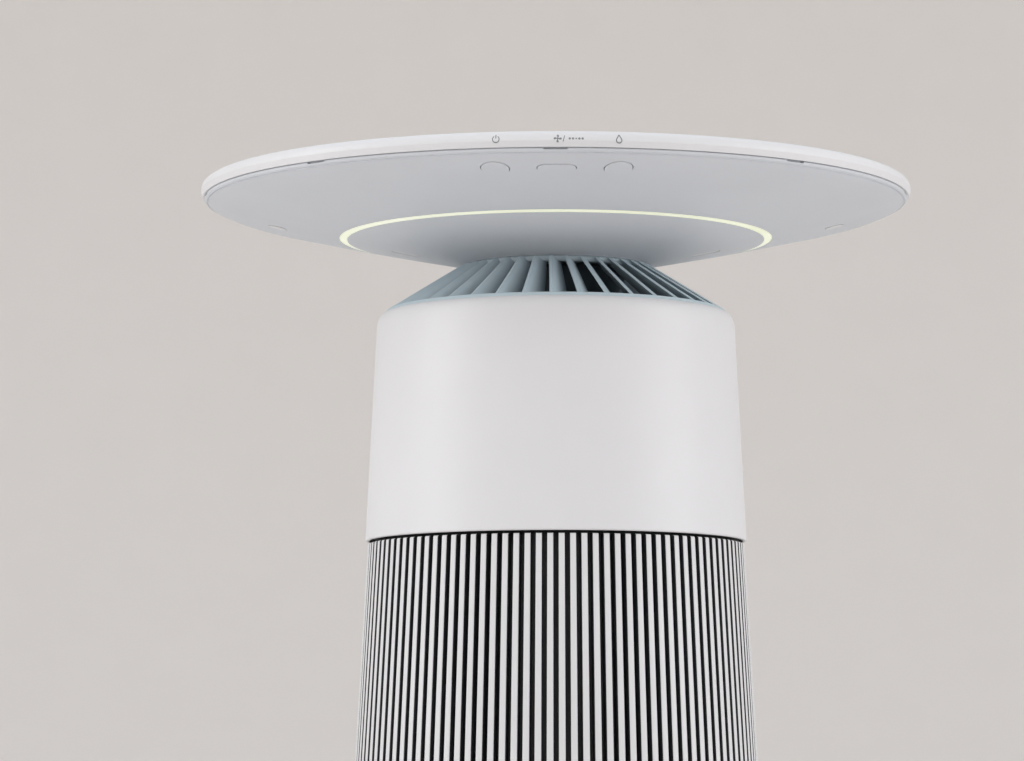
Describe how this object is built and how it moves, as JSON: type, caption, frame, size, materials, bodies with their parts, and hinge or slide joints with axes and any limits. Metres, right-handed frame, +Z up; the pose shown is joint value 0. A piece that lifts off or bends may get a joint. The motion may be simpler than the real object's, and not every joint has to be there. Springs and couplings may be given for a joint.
{
  "type": "air purifier",
  "caption": "Side-table air purifier: round table top with a light ring and buttons beneath, cone of outlet vanes, tapered white body, slatted intake, lift-out round filter.",
  "frame": {"origin": "centre of the base, on the floor the feet stand on", "axes": "+Z up along the body's axis; the buttons face -Y and the removable rear cover +Y; +X is on the right seen from the front"},
  "size_m": [0.4999, 0.5, 0.67],
  "materials": {
    "white_shell": "satin, fine moulded texture",
    "grille_white": "satin",
    "bowl_grey": "satin, pale grey-white",
    "button_plastic": "satin",
    "vane_grey": "satin, pale blue-grey",
    "ring_diffuser": "translucent, lit warm white",
    "dark_plastic": "matt, black",
    "fan_plastic": "satin, dark grey",
    "circuit_board": "solder mask",
    "led": "clear cap",
    "steel": "zinc plated",
    "copper_core": "laminations and windings",
    "filter_paper": "pleated paper",
    "filter_cap": "satin",
    "carbon": "black granules in cloth",
    "filter_net": "fine woven net",
    "dust_net": "black nylon net",
    "rubber_black": "matt",
    "seal_foam": "foam",
    "magnet": "nickel plated",
    "pull_strap": "woven strap"
  },
  "bodies": {
    "housing": {"table_top": "white_shell", "table_underside": "bowl_grey", "light_ring": "ring_diffuser", "light_ring_board": "circuit_board", "light_ring_leds": "led", "screw_covers": "white_shell", "table_screws": "steel", "control_board": "circuit_board", "tact_switches": "dark_plastic", "head_cable": "rubber_black", "support_column": "steel", "hub_screws": "steel", "neck_screws": "steel", "air_deflector": "dark_plastic", "outlet_grille": "vane_grey", "upper_shell": "white_shell", "air_sensor": "dark_plastic", "fan_deck": "dark_plastic", "fan_guard": "dark_plastic", "inlet_ring": "dark_plastic", "fan_duct": "dark_plastic", "diffuser": "fan_plastic", "motor_housing": "steel", "motor_stator": "copper_core", "motor_bearings": "steel", "frame_posts": "dark_plastic", "filter_deck": "dark_plastic", "frame_screws": "steel", "front_slats": "grille_white", "front_grille": "dark_plastic", "front_mesh": "dust_net", "frame_magnets": "magnet", "base_shell": "white_shell", "base_plate": "dark_plastic", "base_screws": "steel", "feet": "rubber_black", "power_inlet": "dark_plastic", "power_supply": "circuit_board"},
    "fan": {"fan_impeller": "fan_plastic", "motor_shaft": "steel", "motor_rotor": "magnet"},
    "filter": {"filter_bottom_cap": "filter_cap", "filter_top_cap": "filter_cap", "filter_seal": "seal_foam", "filter_media": "filter_paper", "filter_carbon": "carbon", "filter_mesh": "filter_net", "filter_pull_tab": "pull_strap"},
    "rear_cover": {"rear_slats": "grille_white", "rear_grille": "dark_plastic", "cover_grip": "dark_plastic", "rear_mesh": "dust_net", "cover_magnets": "magnet"},
    "power_key": {"power_button": "button_plastic"},
    "fan_key": {"fan_button": "button_plastic"},
    "light_key": {"light_button": "button_plastic"}
  },
  "joints": [
    {"name": "fan_spin", "type": "hinge", "parent": "housing", "child": "fan", "pos_m": [0, 0, 0.475], "axis": [0, 0, 1], "continuous": true},
    {"name": "rear_cover_pull", "type": "slide", "parent": "housing", "child": "rear_cover", "axis": [0, 1, 0], "range_m": [0, 0.32]},
    {"name": "filter_pull", "type": "slide", "parent": "housing", "child": "filter", "axis": [0, 1, 0], "range_m": [0, 0.256]},
    {"name": "power_press", "type": "slide", "parent": "housing", "child": "power_key", "axis": [0, 0, 1], "range_m": [0, 0.001], "stiffness_N_per_m": 700, "springref_m": -0.001},
    {"name": "fan_press", "type": "slide", "parent": "housing", "child": "fan_key", "axis": [0, 0, 1], "range_m": [0, 0.001], "stiffness_N_per_m": 700, "springref_m": -0.001},
    {"name": "light_press", "type": "slide", "parent": "housing", "child": "light_key", "axis": [0, 0, 1], "range_m": [0, 0.001], "stiffness_N_per_m": 700, "springref_m": -0.001}
  ],
  "couplings": [
    {"joint": "filter_pull", "follows": "rear_cover_pull", "ratio": 0.8}
  ]
}
